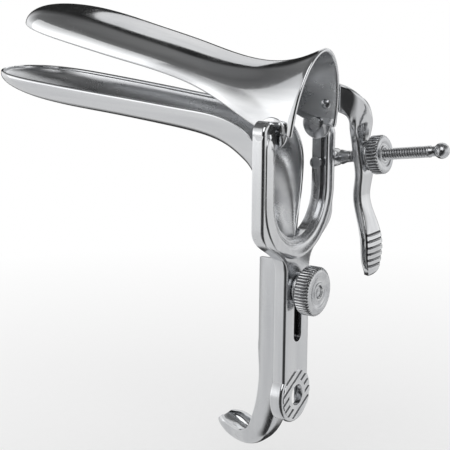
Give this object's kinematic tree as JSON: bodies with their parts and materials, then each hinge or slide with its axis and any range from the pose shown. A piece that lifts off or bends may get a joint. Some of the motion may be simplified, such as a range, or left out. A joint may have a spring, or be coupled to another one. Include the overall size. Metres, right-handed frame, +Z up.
{
  "type": "bivalve speculum",
  "caption": "Two-bladed trough speculum on a forked yoke, opened by a thumb lever, held by a nut on a swinging rod, with a sliding lower blade clamped by a knurled nut.",
  "frame": {"origin": "centre of the hole in the yoke's end pad, on the pad's front face", "axes": "+X from the pad towards the operator, along the hole; -X is where the blades point; +Z up the stem to the hinge; +Y to the side of the thumb lever"},
  "size_m": [0.1748, 0.0601, 0.1564],
  "materials": {
    "polished_blade": "mirror polished",
    "pressed_frame": "polished",
    "forged_lever": "polished",
    "turned": "turned and polished"
  },
  "bodies": {
    "yoke": {"yoke": "pressed_frame", "hinge_pin_near": "turned", "hinge_pin_far": "turned", "rod_pivot_pin": "turned"},
    "lower_blade": {"lower_blade": "polished_blade", "handle_strip": "pressed_frame", "handle_rivets": "turned", "lock_stud": "turned"},
    "lock_washer": {"lock_washer": "turned"},
    "lock_nut": {"lock_nut": "turned"},
    "upper_blade": {"upper_blade": "polished_blade", "thumb_lever": "forged_lever", "lever_rivet": "turned"},
    "setting_rod": {"setting_rod": "turned", "rod_ball": "turned"},
    "setting_washer": {"setting_washer": "turned"},
    "setting_nut": {"setting_nut": "turned"}
  },
  "joints": [
    {"name": "lower_blade_slide", "type": "slide", "parent": "yoke", "child": "lower_blade", "axis": [0, 0, 1], "range_m": [-0.017, 0]},
    {"name": "lock_travel", "type": "slide", "parent": "lower_blade", "child": "lock_washer", "axis": [1, 0, 0], "range_m": [0, 0.002]},
    {"name": "lock_spin", "type": "hinge", "parent": "lock_washer", "child": "lock_nut", "pos_m": [-0.0028, 0, 0.0395], "axis": [1, 0, 0], "range_deg": [0, 700]},
    {"name": "upper_blade_hinge", "type": "hinge", "parent": "yoke", "child": "upper_blade", "pos_m": [-0.0028, 0, 0.0965], "axis": [0, 1, 0], "range_deg": [-9, 15]},
    {"name": "rod_swing", "type": "hinge", "parent": "yoke", "child": "setting_rod", "pos_m": [-0.0033, 0.029, 0.0821], "axis": [0, 1, 0], "range_deg": [-7.4, 12.2]},
    {"name": "nut_travel", "type": "slide", "parent": "setting_rod", "child": "setting_washer", "axis": [0.9877, 0, 0.1564], "range_m": [-0.0038, 0.0023]},
    {"name": "nut_spin", "type": "hinge", "parent": "setting_washer", "child": "setting_nut", "pos_m": [-0.0033, 0.029, 0.0821], "axis": [0.9877, 0, 0.1564], "range_deg": [-1360, 820]}
  ],
  "couplings": [
    {"joint": "lock_travel", "follows": "lock_spin", "m_per_rad": 0.00015915},
    {"joint": "rod_swing", "follows": "upper_blade_hinge", "ratio": 0.8},
    {"joint": "nut_travel", "follows": "upper_blade_hinge", "m_per_rad": -0.0143},
    {"joint": "nut_spin", "follows": "upper_blade_hinge", "ratio": -89.85}
  ]
}
